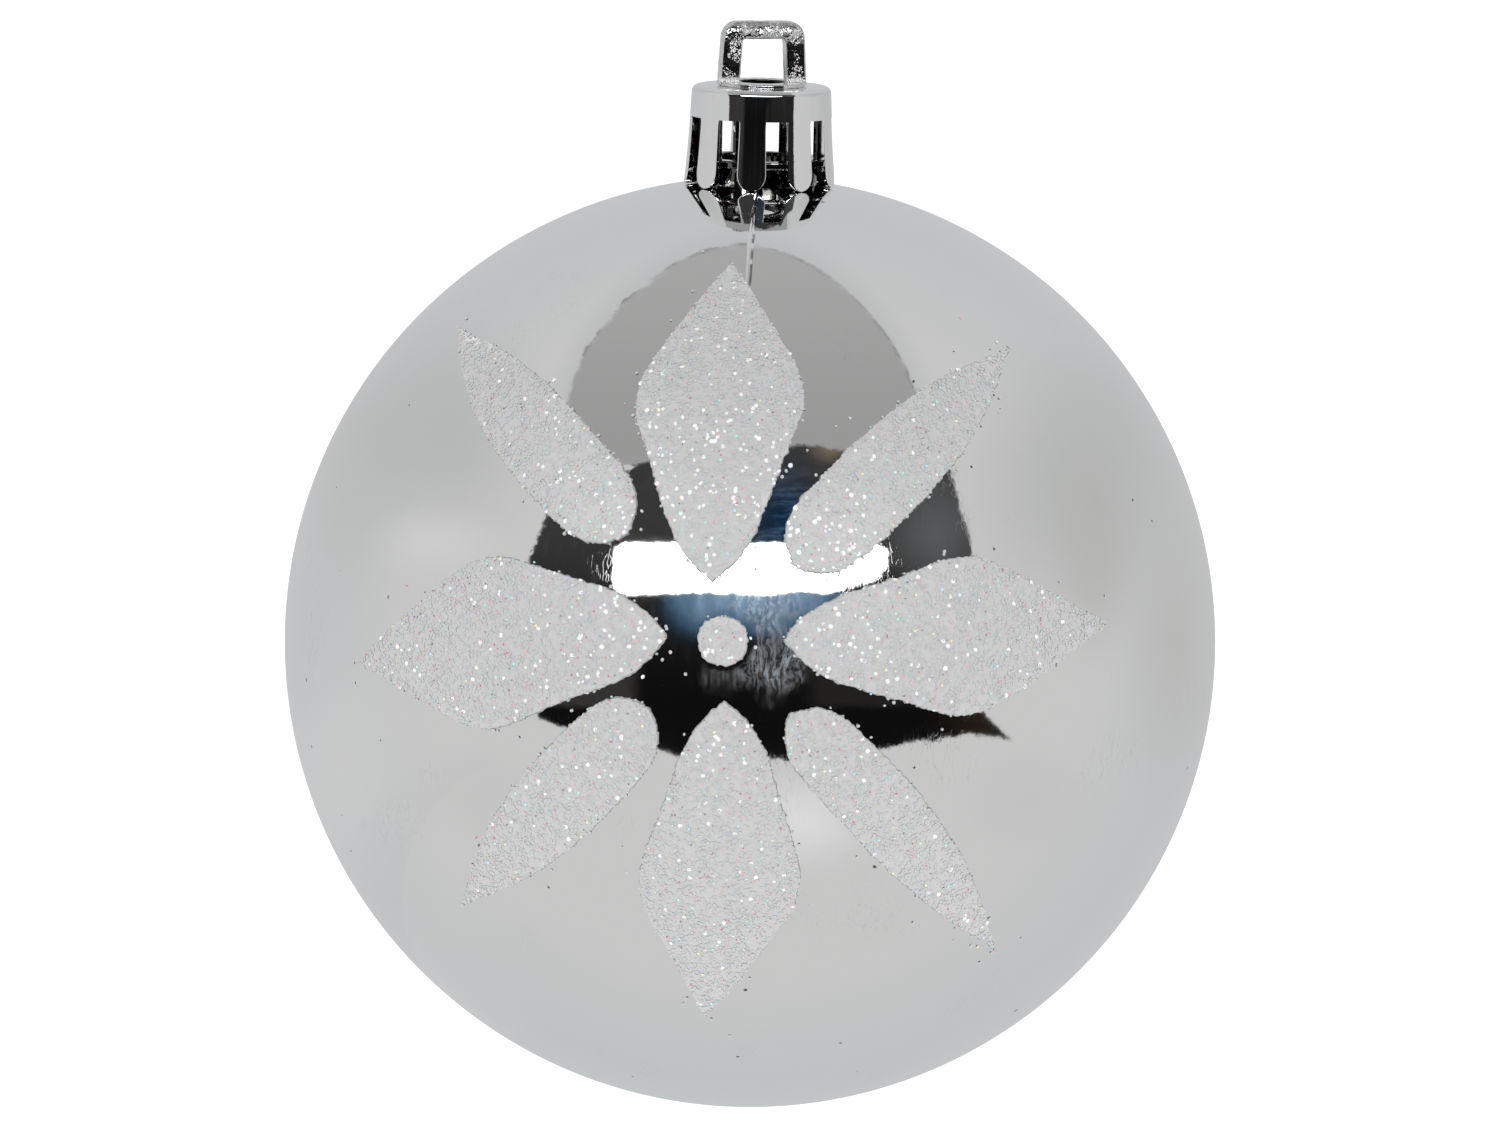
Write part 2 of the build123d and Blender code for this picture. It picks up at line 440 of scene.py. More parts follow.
def glitter_material():
    """Pearl-white film flakes: each has its own tint and film thickness, over a ground of finer flakes."""
    material, surface, place = new_material("white_glitter")
    tint = make(place.tree, "ShaderNodeAttribute", output="Color", attribute_name="tint")
    film = make(place.tree, "ShaderNodeAttribute", output="Fac", attribute_name="film")
    fine_cells = cells(place, 6.0, "Color")
    shade = make(place.tree, "ShaderNodeSeparateColor", {0: fine_cells}) * 0.06 + 0.96
    lean = vector("SCALE", vector("ADD", fine_cells, (-0.5, -0.5, -0.5)), 0.06)
    facing = make(place.tree, "ShaderNodeNewGeometry", output="Normal")
    film_nanometres = film * 1500 - 900  # 300 to 600 on the fifth of the flakes that have a film
    set_surface(
        surface,
        Base_Color=vector("SCALE", mix(tint, fine_cells, 0.03), shade),
        Roughness=0.42,
        Specular_IOR_Level=0.35,
        IOR=1.5,
        Thin_Film_Thickness=film.step(0.80, 0.82) * film_nanometres,
        Thin_Film_IOR=1.75,
        Normal=vector("NORMALIZE", vector("ADD", facing, lean)),
    )
    return material


# ---- mesh helpers
def new_object(name, data):
    obj = bpy.data.objects.new(name, data)
    scene.collection.objects.link(obj)
    return obj


def add_piece(name, body, material, points, faces, nodes, sharp_angle=None):
    """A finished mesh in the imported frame, riding a body and standing for CAD nodes."""
    mesh = bpy.data.meshes.new(name)
    places = np.asarray(points) * MM + np.array(ball_center)
    mesh.from_pydata(places.tolist(), [], faces)
    mesh.materials.append(material)
    if sharp_angle is not None:
        mesh.shade_smooth()
        mesh.set_sharp_from_angle(angle=radians(sharp_angle))
    obj = new_object(name, mesh)
    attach(obj, body)
    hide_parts(*nodes)
    return obj


def joined(*parts):
    """Several meshes, each given as points and faces, as one."""
    faces, shift = [], 0
    for part_points, part_faces in parts:
        faces += [tuple(corner + shift for corner in face) for face in part_faces]
        shift += len(part_points)
    return np.concatenate([part_points for part_points, part_faces in parts]), faces


def units(vectors):
    """The same vectors, each at length 1."""
    return vectors / np.maximum(np.linalg.norm(vectors, axis=-1, keepdims=True), 1e-12)


def rounded(corners, steps=5):
    """The path through (x, y, radius) corners, with every corner that has a radius rounded off."""
    path = []
    for index, (x, y, radius) in enumerate(corners):
        corner = np.array((x, y), float)
        if radius == 0:
            path.append(corner)
            continue
        before = units(np.array(corners[index - 1][:2]) - corner)
        after = units(np.array(corners[(index + 1) % len(corners)][:2]) - corner)
        half_angle = np.arccos(np.clip(before @ after, -1, 1)) / 2
        reach = radius / tan(half_angle)
        middle = corner + units(before + after) * radius / sin(half_angle)
        start = corner + before * reach - middle
        end = corner + after * reach - middle
        turn = pi - 2 * half_angle
        for share in np.linspace(0, 1, steps + 1):
            weights = sin((1 - share) * turn) / sin(turn), sin(share * turn) / sin(turn)
            path.append(middle + weights[0] * start + weights[1] * end)
    return np.array(path)


def turned(radii, heights, azimuths):
    """Points of a lathed surface, as an array of rows by columns by 3."""
    angle = np.radians(azimuths)
    radii, heights = np.asarray(radii)[:, None], np.asarray(heights)[:, None]
    columns = np.ones(len(angle))
    return np.stack((radii * np.sin(angle), -radii * np.cos(angle), heights * columns), axis=2)


def ring_faces(rows, columns, closed_rows=False):
    """Quads between neighbouring rows of a grid whose columns run all the way round."""
    faces = []
    for row in range(rows if closed_rows else rows - 1):
        low = row * columns
        high = (row + 1) % rows * columns
        for column in range(columns):
            beside = (column + 1) % columns
            faces.append((low + column, low + beside, high + beside, high + column))
    return faces


def weld_poles(points, faces, columns):
    """Welds the first and the last row of a grid, whose points lie on the axis, to one point each."""
    last = len(points) - columns
    weld = np.arange(len(points))
    weld[:columns] = 0
    weld[last:] = last
    welded = []
    for face in faces:
        corners = list(dict.fromkeys(int(weld[corner]) for corner in face))
        if len(corners) > 2:
            welded.append(corners)
    used = sorted({corner for face in welded for corner in face})
    new_index = {old: new for new, old in enumerate(used)}
    return points[used], [[new_index[corner] for corner in face] for face in welded]


# ---- ball shell
def seam_relief(points):
    """Height of the mould's parting line, which runs down the front and the back from the neck."""
    turn = radians(seam_azimuth)
    from_plane = points[..., 0] * cos(turn) + points[..., 1] * sin(turn)
    across = np.exp(-((from_plane / seam_half_width) ** 2))
    from_axis = np.degrees(np.arctan2(np.hypot(points[..., 0], points[..., 1]), points[..., 2]))
    start, end = seam_fade
    fade = np.clip((end - from_axis) / (end - start), 0, 1)
    return seam_height * across * fade


def meridian(radius, opening_radius, rows):
    """Radii and heights down a ball's side, from a round opening at its top to its bottom."""
    polar = np.linspace(asin(opening_radius / radius), pi, rows)
    return np.stack((radius * np.sin(polar), radius * np.cos(polar)), axis=1)


def build_ball():
    outer_rows, inner_rows, even_columns = 190, 70, 288
    outside = meridian(ball_radius, neck_radius, outer_rows)[::-1]
    inside = meridian(ball_radius - ball_wall, neck_bore_radius, inner_rows)
    bead_bottom = neck_top - bead_height
    neck = rounded(
        [
            (*outside[-1], 0),
            (neck_radius, bead_bottom, 0.08),
            (bead_radius, bead_bottom, 0.10),
            (bead_radius, neck_top, 0.14),
            (neck_bore_radius, neck_top, 0.10),
            (*inside[0], 0),
        ]
    )
    profile = np.concatenate((outside[:-1], neck, inside[1:]))
    even = np.linspace(0, 360, even_columns, endpoint=False)
    beside_seam = np.array([0.18, 0.35, 0.55, 0.8, 1.1])  # extra columns, so that the seam's relief is smooth
    near_seam = seam_azimuth + np.concatenate((-beside_seam, beside_seam))
    azimuths = np.sort(np.concatenate((even, near_seam % 360, near_seam + 180)))
    points = turned(profile[:, 0], profile[:, 1], azimuths)
    ball_part = points[:outer_rows]
    points[:outer_rows] += units(ball_part) * seam_relief(ball_part)[..., None]
    faces = ring_faces(len(profile), len(azimuths))
    points, faces = weld_poles(points.reshape(-1, 3), faces, len(azimuths))
    add_piece("ball_shell_mirror", "ball", shell_material(), points, faces, ["ball_shell"], 50)


# ---- cap
def finger_slot_half(z):
    """Half the gap between two fingers at this height: even at the top, opening round the tips."""
    half_pitch = finger_tip_radius * sin(radians(180 / finger_count))
    most_below = 0.995  # short of 1, so that a finger keeps some width at its tip
    below = np.clip((finger_tip + finger_round_height - z) / finger_round_height, 0, most_below)
    return half_pitch - (half_pitch - slot_half) * np.sqrt(1 - below**2)


def cap_wall_radius(z):
    """Outer radius of the band and the flaring fingers."""
    slope = (band_bottom_radius - cap_top_radius) / (cap_top - band_bottom)
    drop = band_bottom - z
    full_drop = band_bottom - finger_tip
    bow = (finger_tip_radius - band_bottom_radius - slope * full_drop) / full_drop**2
    return band_bottom_radius + slope * drop + bow * np.maximum(drop, 0) ** 2


def cap_rows():
    """Radii and heights of the cap's outer rows and of its inner rows, and how many make up the fingers.

    Both start at the finger tips. Past the band the outer rows go over the top and down the stem's hole, and
    the inner rows go under the ceiling to the same hole.
    """
    hook_bevel, hole_edge_radius, ceiling_corner_radius = 0.04, 0.06, 0.3
    hook_top = neck_top - bead_height - running_clearance
    hook_bottom = hook_top - hook_land
    lead_in_bottom = hook_bottom - (cap_bore_radius - hook_radius)
    round_rows = finger_tip + finger_round_height * (1 - np.sin(np.radians(np.linspace(84, 0, 12))))
    straight_rows = np.linspace(finger_tip + finger_round_height, band_bottom, 16)[1:]
    hook_rows = [lead_in_bottom, hook_bottom, hook_top - hook_bevel, hook_top]
    finger_z = np.unique(np.concatenate((round_rows, straight_rows, hook_rows)))
    bore_z = [0, *hook_rows, cap_top]
    bore_r = [cap_bore_radius, cap_bore_radius, hook_radius, hook_radius, cap_bore_radius, cap_bore_radius]
    tip_gap = sqrt((ball_radius + running_clearance) ** 2 - cap_bore_radius**2)
    over_top = [
        (cap_wall_radius(band_bottom), band_bottom, 0),
        (cap_wall_radius(cap_top), cap_top, cap_corner_radius),
        (stem_radius, cap_top, hole_edge_radius),
        (stem_radius, cap_ceiling, 0),
    ]
    under_top = [
        (cap_bore_radius, band_bottom, 0),
        (cap_bore_radius, cap_ceiling, ceiling_corner_radius),
        (stem_radius, cap_ceiling, 0),
    ]
    outer = [(cap_wall_radius(z), z) for z in finger_z]
    inner = [(np.interp(z, bore_z, bore_r), max(z, tip_gap)) for z in finger_z]
    return outer + list(rounded(over_top, 10)[1:]), inner + list(rounded(under_top)[1:-1]), len(finger_z)


# One sector of the cap's columns: a finger, with columns close to its edges, then the gap beside it
edge_offsets = np.array([0, 0.03, 0.09, 0.2])  # in millimetres
edge_roll_shares = np.array([1, 0.42, 0.07, 0])
edge_limits = np.array([0, 0.2, 0.45, 0.7])  # shares of a narrow finger's half width that they keep to
middle_columns, gap_columns = 12, 7
finger_columns = 2 * len(edge_offsets) + middle_columns
sector_columns = finger_columns + gap_columns - 1
sector_pitch = 360 / finger_count


def sector_spots(radius, z, roll):
    """Azimuths and radii of one sector's columns, with the finger's edges rolled off by this much."""
    half_gap = finger_slot_half(min(z, band_bottom)) / radius
    widest_half_gap = sin(radians(sector_pitch / 2)) * 0.998
    gap = np.degrees(asin(min(half_gap, widest_half_gap)))
    width = sector_pitch - 2 * gap
    offsets = np.minimum(np.degrees(edge_offsets / radius), width / 2 * edge_limits)
    middle = np.linspace(offsets[-1], width - offsets[-1], middle_columns + 2)[1:-1]
    beyond = np.linspace(width, sector_pitch, gap_columns + 1)[1:-1]
    azimuths = cap_turn + gap + np.concatenate((offsets, middle, width - offsets[::-1], beyond))
    drops = np.zeros(sector_columns)
    drops[: len(edge_offsets)] = roll * edge_roll_shares
    drops[finger_columns - len(edge_offsets) : finger_columns] = roll * edge_roll_shares[::-1]
    return azimuths, radius - drops


def build_cap():
    """An outer and an inner skin, joined at the hole, the fingers' tips and sides, and above the gaps."""
    outer, inner, finger_rows = cap_rows()
    band = finger_rows - 1
    columns = sector_columns * finger_count
    points, faces, index = [], [], {}
    for side, rows, roll in (("out", outer, edge_roll), ("in", inner, 0)):
        for row, (radius, z) in enumerate(rows):
            azimuths, radii = sector_spots(radius, z, roll if row < band else 0)
            for sector in range(finger_count):
                for column in range(finger_columns if row < band else sector_columns):
                    angle = radians(azimuths[column] + sector * sector_pitch)
                    index[side, row, sector * sector_columns + column] = len(points)
                    points.append((radii[column] * sin(angle), -radii[column] * cos(angle), z))

    def quad(*corners):
        faces.append(tuple(index[corner] for corner in corners))

    def strip(low, high, chosen):
        """Quads from one row to another, each given by its side and number, at these columns."""
        for column in chosen:
            beside = (column + 1) % columns
            quad((*low, column), (*low, beside), (*high, beside), (*high, column))

    everywhere = range(columns)
    on_fingers = [column for column in everywhere if column % sector_columns < finger_columns - 1]
    over_gaps = sorted(set(everywhere) - set(on_fingers))
    for row in range(len(outer) - 1):
        strip(("out", row), ("out", row + 1), on_fingers if row < band else everywhere)
    for row in range(len(inner) - 1):
        strip(("in", row + 1), ("in", row), on_fingers if row < band else everywhere)
    strip(("out", len(outer) - 1), ("in", len(inner) - 1), everywhere)
    strip(("in", band), ("out", band), over_gaps)
    strip(("in", 0), ("out", 0), on_fingers)
    for left in range(0, columns, sector_columns):
        right = left + finger_columns - 1
        for row in range(band):
            quad(("in", row, left), ("out", row, left), ("out", row + 1, left), ("in", row + 1, left))
            quad(("out", row, right), ("in", row, right), ("in", row + 1, right), ("out", row + 1, right))
    add_piece("cap_mirror", "cap", cap_material(), points, faces, ["cap"], 35)


# ---- hanging loop
def arch_solid():
    """The arch: rounded cross-sections along the path between the eye's outline and the outer outline."""
    base = cap_top + 0.1
    corner_steps, leg_steps, bar_steps = 10, 14, 8

    def arch_line(base_half, top_half, top, corner_radius):
        """An even path up one leg, over the bar and down the other leg."""
        right = [(base_half, base, 0), (top_half, top, corner_radius)]
        path = rounded(right + [(-x, z, radius) for x, z, radius in reversed(right)], corner_steps)
        bar_start, bar_end = corner_steps + 1, corner_steps + 2
        leg_up = np.linspace(path[0], path[1], leg_steps, endpoint=False)
        bar = np.linspace(path[bar_start], path[bar_end], bar_steps, endpoint=False)
        leg_down = np.linspace(path[-2], path[-1], leg_steps)
        return np.concatenate((leg_up, path[1:bar_start], bar, path[bar_end:-2], leg_down))

    outer = arch_line(loop_base_half_width, loop_top_half_width, loop_top, loop_corner_radius)
    eye = arch_line(eye_base_half_width, eye_top_half_width, eye_top, eye_corner_radius)
    half_depth = loop_depth / 2
    quarters = ((-1, -1), (1, -1), (1, 1), (-1, 1))
    points = []
    for outside, inside in zip(outer, eye):
        half_width = np.linalg.norm(outside - inside) / 2
        section = rounded([(a * half_width, b * half_depth, loop_edge_radius) for a, b in quarters], 4)
        middle = (outside + inside) / 2
        towards = (outside - inside) / (2 * half_width)
        for across, deep in section:
            x, z = middle + towards * across
            points.append((x, -deep, z))
    ring = len(section)
    ends = [tuple(range(ring))[::-1], tuple(range(len(points) - ring, len(points)))]
    faces = ring_faces(len(outer), ring) + ends
    angle = radians(cap_turn)
    turn = np.array([(cos(angle), sin(angle), 0), (-sin(angle), cos(angle), 0), (0, 0, 1)])
    return np.array(points) @ turn, faces


def foot_solid():
    """The round foot with the hollow stem under it."""
    lip_drop = 0.45
    profile = rounded(
        [
            (stem_bore_radius, cap_top + foot_height, 0.08),
            (foot_radius, cap_top + foot_height, 0.12),
            (foot_radius, cap_top, 0.04),
            (stem_radius, cap_top, 0),
            (stem_radius, cap_ceiling, 0),
            (stem_lip_radius, cap_ceiling, 0),
            (stem_radius, cap_ceiling - lip_drop, 0),
            (stem_bore_radius, stem_bottom, 0),
        ]
    )[::-1]
    azimuths = np.linspace(0, 360, 96, endpoint=False)
    points = turned(profile[:, 0], profile[:, 1], azimuths)
    return points.reshape(-1, 3), ring_faces(len(profile), len(azimuths), closed_rows=True)


def build_loop():
    """The arch and the foot as one moulded skin, slightly softened and lumpy."""
    points, faces = joined(arch_solid(), foot_solid())
    draft = bpy.data.meshes.new("loop_draft")
    draft.from_pydata(points.tolist(), [], faces)
    solid = new_object("loop_draft", draft)
    remesh = solid.modifiers.new("one_skin", "REMESH")
    remesh.mode = "VOXEL"
    remesh.voxel_size = 0.055  # small against the loop's rolled edges
    soften = solid.modifiers.new("soften", "SMOOTH")
    soften.factor = 0.5
    soften.iterations = 3
    skin = solid.evaluated_get(bpy.context.evaluated_depsgraph_get()).to_mesh()
    lump_size, lump_height = 0.55, 0.022
    points = []
    for vertex in skin.vertices:
        lump = noise.noise(vertex.co / lump_size) * lump_height
        points.append(vertex.co + vertex.normal * lump)
    faces = [tuple(polygon.vertices) for polygon in skin.polygons]
    bpy.data.objects.remove(solid)
    bpy.data.meshes.remove(draft)
    add_piece("hanging_loop_mirror", "cap", loop_material(), points, faces, ["hanging_loop"], 180)


# ---- glitter flower
class Sheet:
    """A flat map of the ball's surface round one direction, in millimetres along the surface."""

    def __init__(self, middle):
        self.out = units(middle)
        self.up = units(np.array((0, 0, 1.0)) - self.out * self.out[2])
        self.right = np.cross(self.up, self.out)

    def flat(self, directions):
        along = directions @ self.out
        angle = np.arccos(np.clip(along, -1, 1))
        aside = units(directions - along[:, None] * self.out)
        return np.stack((aside @ self.right, aside @ self.up), axis=1) * angle[:, None] * ball_radius

    def directions(self, flat):
        distance = np.maximum(np.linalg.norm(flat, axis=1), 1e-12)[:, None]
        angle = distance / ball_radius
        aside = (flat[:, :1] * self.right + flat[:, 1:] * self.up) / distance
        return np.cos(angle) * self.out + np.sin(angle) * aside


def node_spots(node):
    """The corners of a CAD node, as offsets from the ball's centre in metres."""
    return np.array([vertex.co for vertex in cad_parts[node].data.vertices]) - np.array(ball_center)


def node_radius(node):
    """The greatest distance of a CAD node from the ball's centre, in millimetres."""
    return np.linalg.norm(node_spots(node), axis=1).max() / MM


def island_outline(node):
    """Directions from the ball's centre round the outer face of a CAD island, in order."""
    spots = node_spots(node)
    lengths = np.linalg.norm(spots, axis=1)
    outer = lengths > (lengths.max() + lengths.min()) / 2
    unique, index = np.unique(np.round(spots / (MM * MM)), axis=0, return_inverse=True)
    index = index.reshape(-1)
    counts = {}
    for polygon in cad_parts[node].data.polygons:
        corners = list(polygon.vertices)
        if not all(outer[corner] for corner in corners):
            continue
        for start, end in zip(corners, corners[1:] + corners[:1]):
            edge = tuple(sorted((index[start], index[end])))
            counts[edge] = counts.get(edge, 0) + 1
    beside = {}
    for (start, end), count in counts.items():
        if count == 1:
            beside.setdefault(start, []).append(end)
            beside.setdefault(end, []).append(start)
    first = min(beside)
    loop, previous = [first], None
    while True:
        step = next(spot for spot in beside[loop[-1]] if spot != previous)
        if step == first:
            break
        previous = loop[-1]
        loop.append(step)
    return units(unique[loop])


def even_loop(flat, spacing):
    """The same closed outline with points at even distances."""
    closed = np.concatenate((flat, flat[:1]))
    lengths = np.concatenate(([0], np.cumsum(np.linalg.norm(np.diff(closed, axis=0), axis=1))))
    count = max(12, int(lengths[-1] / spacing))
    stations = np.linspace(0, lengths[-1], count, endpoint=False)
    return np.stack([np.interp(stations, lengths, closed[:, axis]) for axis in (0, 1)], axis=1)


def outward(flat):
    """Unit normals that point out of a closed outline."""
    along = np.roll(flat, -1, axis=0) - np.roll(flat, 1, axis=0)
    normals = units(np.stack((along[:, 1], -along[:, 0]), axis=1))
    area = np.sum(flat[:, 0] * np.roll(flat[:, 1], -1) - np.roll(flat[:, 0], -1) * flat[:, 1]) / 2
    return normals * np.sign(area)


def inside(spots, outline):
    """Which spots lie inside a closed outline."""
    x, y = spots[:, 0, None], spots[:, 1, None]
    start, end = outline, np.roll(outline, -1, axis=0)
    crosses = (start[:, 1] > y) != (end[:, 1] > y)
    run = end[:, 1] - start[:, 1]
    run = np.where(run == 0, 1e-12, run)
    at = start[:, 0] + (y - start[:, 1]) / run * (end[:, 0] - start[:, 0])
    return (crosses & (x < at)).sum(axis=1) % 2 == 1


def edge_distance(spots, outline):
    return np.sqrt(((spots[:, None] - outline[None]) ** 2).sum(axis=2)).min(axis=1)


def wandering(outline, amount):
    """The outline with a ragged edge: a slow wander and a quick one."""
    count = len(outline)
    every_fourth = np.arange(0, count + 4, 4)
    slow = np.interp(np.arange(count), every_fourth, dice.normal(size=len(every_fourth)))
    shift = 0.6 * slow + 0.5 * dice.normal(size=count)
    return outline + outward(outline) * amount * np.clip(shift, -2, 2)[:, None]


def slab(sheet, outline, step, bottom, top_heights):
    """A closed slab on the ball over an outline.

    top_heights gives the radius of its top at these distances from the outline.
    """
    jitter, clear_rim = 0.3 * step, 0.4 * step
    weld_distance = 1e-7
    low, high = outline.min(axis=0), outline.max(axis=0)
    grid = np.stack(np.meshgrid(*[np.arange(a, b, step) for a, b in zip(low, high)]), axis=2).reshape(-1, 2)
    grid += dice.uniform(-jitter, jitter, grid.shape)
    grid = grid[inside(grid, outline)]
    grid = grid[edge_distance(grid, outline) > clear_rim]
    spots = np.concatenate((outline, grid))
    rim = len(outline)
    edges = [(corner, (corner + 1) % rim) for corner in range(rim)]
    inside_edges_only = 1
    made = delaunay_2d_cdt([Vector(spot) for spot in spots], edges, [], inside_edges_only, weld_distance)
    flat = np.array([tuple(spot) for spot in made[0]])
    triangles = [tuple(face) for face in made[2]]
    directions = sheet.directions(flat)
    top = directions * top_heights(edge_distance(flat, outline))[:, None]
    count = len(flat)
    sides = {side: None for a, b, c in triangles for side in ((a, b), (b, c), (c, a))}
    faces = triangles + [tuple(corner + count for corner in reversed(face)) for face in triangles]
    for start, end in sides:
        if (end, start) not in sides:
            faces.append((end, start, start + count, end + count))
    return np.concatenate((top, directions * bottom)), faces


def hexagon_flakes(spots, facing, radii):
    """Thin closed hexagonal plates, one at each spot, square to its facing."""
    count = len(spots)
    right = units(np.cross(facing, dice.normal(size=(count, 3))))
    up = np.cross(facing, right)
    angles = np.arange(flake_sides) * 2 * pi / flake_sides
    stretch = dice.uniform(0.75, 1.0, count)[:, None, None]
    ring = np.cos(angles)[:, None] * right[:, None] + stretch * np.sin(angles)[:, None] * up[:, None]
    ring *= radii[:, None, None]
    lift = facing[:, None] * flake_thickness / 2
    points = np.concatenate((spots[:, None] + ring + lift, spots[:, None] + ring - lift), axis=1)
    pattern = [tuple(range(flake_sides)), tuple(range(flake_sides, flake_corners))[::-1]]
    for side in range(flake_sides):
        beside = (side + 1) % flake_sides
        pattern.append((side + flake_sides, beside + flake_sides, beside, side))
    starts = range(0, count * flake_corners, flake_corners)
    faces = [tuple(start + corner for corner in face) for start in starts for face in pattern]
    return points.reshape(-1, 3), faces


def flake_kinds(places, middle):
    """Tints and radii of the flakes, and which of them stand out.

    Most are a dull pearl white, some are painted pure white as glints and a few are coloured. The painted
    glints gather round the flower's middle, where the softbox's glints fall, in drifts.
    """
    drift_size = 3.2
    gather_rise, gather_reach = 7.0, 14.0  # the painted glints are thickest this far above the middle
    pale_above = 4  # fewer flakes are pink from this far above the middle
    count = len(places)
    pearl = np.array((0.585, 0.596, 0.594))
    tints = pearl * dice.uniform(0.97, 1.03, (count, 1))
    radii = dice.uniform(0.10, 0.17, count)
    drift = np.array([noise.noise(Vector(place) / drift_size) for place in places])
    offsets = places - middle
    from_thickest = np.linalg.norm(offsets - (0, 0, gather_rise), axis=1)
    near = np.exp(-((from_thickest / gather_reach) ** 2))
    painted_glint_share = np.clip(0.013 + 0.19 * near * (0.55 + drift), 0.01, 0.3)
    pinkness = np.where(offsets[:, 2] > pale_above, 0.7, 1.5)
    kinds = [
        # painted highlight: pure white flakes stand in for glints
        ((1.00, 1.00, 1.00), painted_glint_share, (0.12, 0.23)),
        ((0.74, 0.14, 0.22), 0.011 * pinkness, (0.06, 0.09)),
        ((0.92, 0.46, 0.53), 0.024 * pinkness, (0.06, 0.11)),
        ((0.60, 0.95, 0.80), 0.007, (0.08, 0.14)),
        ((0.58, 0.86, 1.00), 0.007, (0.08, 0.14)),
        ((1.00, 0.95, 0.62), 0.006, (0.08, 0.14)),
        ((0.20, 0.18, 0.18), 0.018, (0.045, 0.075)),
    ]
    draw = dice.random(count)
    for colour, share, (smallest, largest) in kinds:
        chosen = (draw >= 0) & (draw < share)
        tints[chosen] = colour
        radii[chosen] = dice.uniform(smallest, largest, chosen.sum())
        draw = np.where(chosen, -1, draw - share)
    return tints, radii, draw == -1


def scattered_spots(outline):
    """Where flakes lie: all over the island, thick up to its ragged edge, and a few strays beyond it."""
    margin = 3
    crumb_share, crumb_reach = 0.4, 0.11
    stray_share, stray_reach = 0.016, 0.9
    low, high = outline.min(axis=0) - margin, outline.max(axis=0) + margin
    tries = int((high - low).prod() * flakes_per_mm2)
    spots = low + dice.random((tries, 2)) * (high - low)
    within = inside(spots, outline)
    distance = edge_distance(spots, outline)
    spilled = crumb_share * np.exp(-distance / crumb_reach) + stray_share * np.exp(-distance / stray_reach)
    kept = within | (dice.random(tries) < spilled)
    return spots[kept], within[kept]


def add_island(node, glue_top, glitter_top, middle, material):
    """One island: a pad with its flakes. Returns its flat map and its ragged outline."""
    outline = island_outline(node)
    sheet = Sheet(outline.mean(axis=0))
    flat = even_loop(sheet.flat(outline), outline_step)
    ragged = wandering(flat - outward(flat) * flake_overhang, edge_wander)
    pad_step, rim_width = 0.5, 0.5
    pad_tint, pad_film = 0.59, 0.5
    lying_tilt, loose_tilt = 0.03, 0.14
    extra_height = 0.05  # of the flakes that stand out

    def swollen(distance, share, jitter):
        """A height that starts at this share of the glitter's thickness and swells inwards."""
        swell = share + 0.45 * np.minimum(distance / rim_width, 1)
        return glue_top + (glitter_top - glue_top) * swell + dice.uniform(-jitter, jitter, len(distance))

    def pad_heights(distance):
        return swollen(distance, 0.25, 0.015)

    pad = slab(sheet, ragged, pad_step, glue_top - 0.02, pad_heights)
    spots, within = scattered_spots(ragged)
    directions = sheet.directions(spots)
    on_island = swollen(edge_distance(spots, ragged), 0.35, 0.008)
    heights = np.where(within, on_island, ball_radius + dice.uniform(0.03, 0.12, len(spots)))
    tints, radii, standing_out = flake_kinds(directions * ball_radius, middle)
    heights += extra_height * standing_out
    tilt = np.where(within & ~standing_out, lying_tilt, loose_tilt)[:, None]
    facing = units(directions + tilt * dice.normal(size=directions.shape))
    flakes = hexagon_flakes(directions * heights[:, None], facing, radii)
    piece = add_piece(f"{node}_glitter", "ball", material, *joined(pad, flakes), [node])
    pad_corners = len(pad[0])
    tints = np.concatenate((np.full((pad_corners, 3), pad_tint), np.repeat(tints, flake_corners, axis=0)))
    tints = np.concatenate((tints, np.ones((len(tints), 1))), axis=1)
    film = np.concatenate((np.full(pad_corners, pad_film), np.repeat(dice.random(len(spots)), flake_corners)))
    piece.data.attributes.new("tint", "FLOAT_COLOR", "POINT").data.foreach_set("color", tints.ravel())
    piece.data.attributes.new("film", "FLOAT", "POINT").data.foreach_set("value", film)
    return sheet, ragged


def build_flower(face, glue_material, glitter_material):
    """One side's nine islands and the dried adhesive under them."""
    glue_node = f"{face}_glue_print"
    nodes = [name for name in sorted(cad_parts) if name.startswith(face) and name != glue_node]
    glue_top, glitter_top = node_radius(glue_node), node_radius(nodes[0])
    low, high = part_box(f"{face}_dot")
    middle = np.array((low + high) / 2 - ball_center) / MM
    glue_step, rim_drop, rim_reach = 1.2, 0.06, 0.1

    def glue_heights(distance):
        return glue_top - rim_drop * np.exp(-distance / rim_reach) + dice.uniform(-0.01, 0.0, len(distance))

    pads = []
    for node in nodes:
        sheet, ragged = add_island(node, glue_top, glitter_top, middle, glitter_material)
        rim = ragged + outward(ragged) * dice.uniform(0.02, 0.14, len(ragged))[:, None]
        pads.append(slab(sheet, rim, glue_step, ball_radius - 0.02, glue_heights))
    add_piece(f"{face}_adhesive_print", "ball", glue_material, *joined(*pads), [glue_node], 60)


# ---- light tent
def covered(u, v, corners, softness=0.004):
    """1 inside a convex outline given anticlockwise, 0 outside, with a soft edge."""
    furthest = None
    for (ax, ay), (bx, by) in zip(corners, corners[1:] + corners[:1]):
        length = sqrt((bx - ax) ** 2 + (by - ay) ** 2)
        nx, ny = (by - ay) / length, (ax - bx) / length
        beyond = u * nx + v * ny - (ax * nx + ay * ny)
        furthest = beyond if furthest is None else furthest.most(beyond)
    return furthest.step(softness, -softness)


